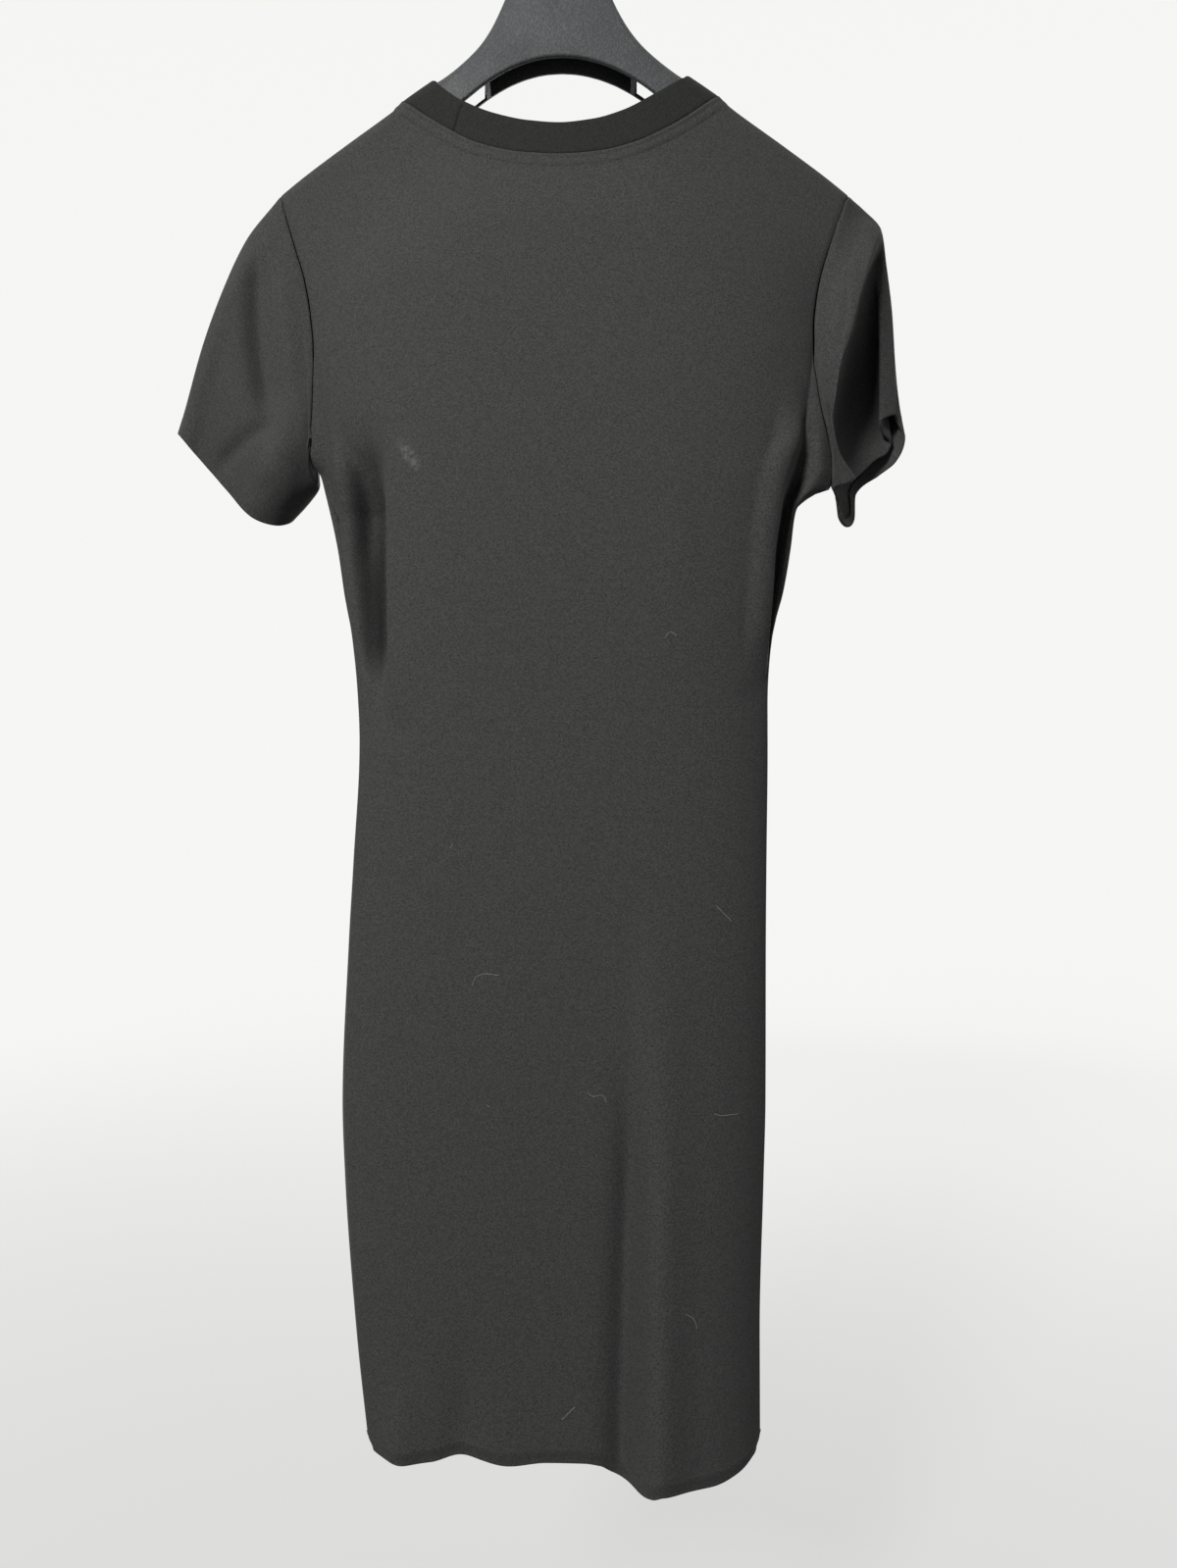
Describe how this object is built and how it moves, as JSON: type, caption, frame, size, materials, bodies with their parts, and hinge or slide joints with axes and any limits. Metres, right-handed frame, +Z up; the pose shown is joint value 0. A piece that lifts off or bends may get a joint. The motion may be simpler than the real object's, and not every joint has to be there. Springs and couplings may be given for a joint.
{
  "type": "bodycon dress on hanger",
  "caption": "Short-sleeved, round-necked, close-fitting knee-length dress with a doubled neckband, hung from a broad moulded hanger with a wire hook.",
  "frame": {"origin": "inside top of the hanger's hook, where a rail would carry it", "axes": "+Z up, -Y out of the back of the dress, +Y out of its front, -X toward the wearer's left sleeve"},
  "size_m": [0.5337, 0.1138, 1.1328],
  "materials": {
    "knit": "dense scuba knit, charcoal, very fine crosswise grain, faint sheen",
    "band": "the same knit, doubled and pressed",
    "plastic": "moulded polystyrene with a fine matt grain, dark grey",
    "hook": "bright plated steel wire"
  },
  "bodies": {
    "root": {"back_panel": "knit", "front_panel": "knit", "sleeve_left": "knit", "sleeve_right": "knit", "neckband": "band", "hanger_body": "plastic", "hanger_hook": "hook"}
  },
  "joints": []
}
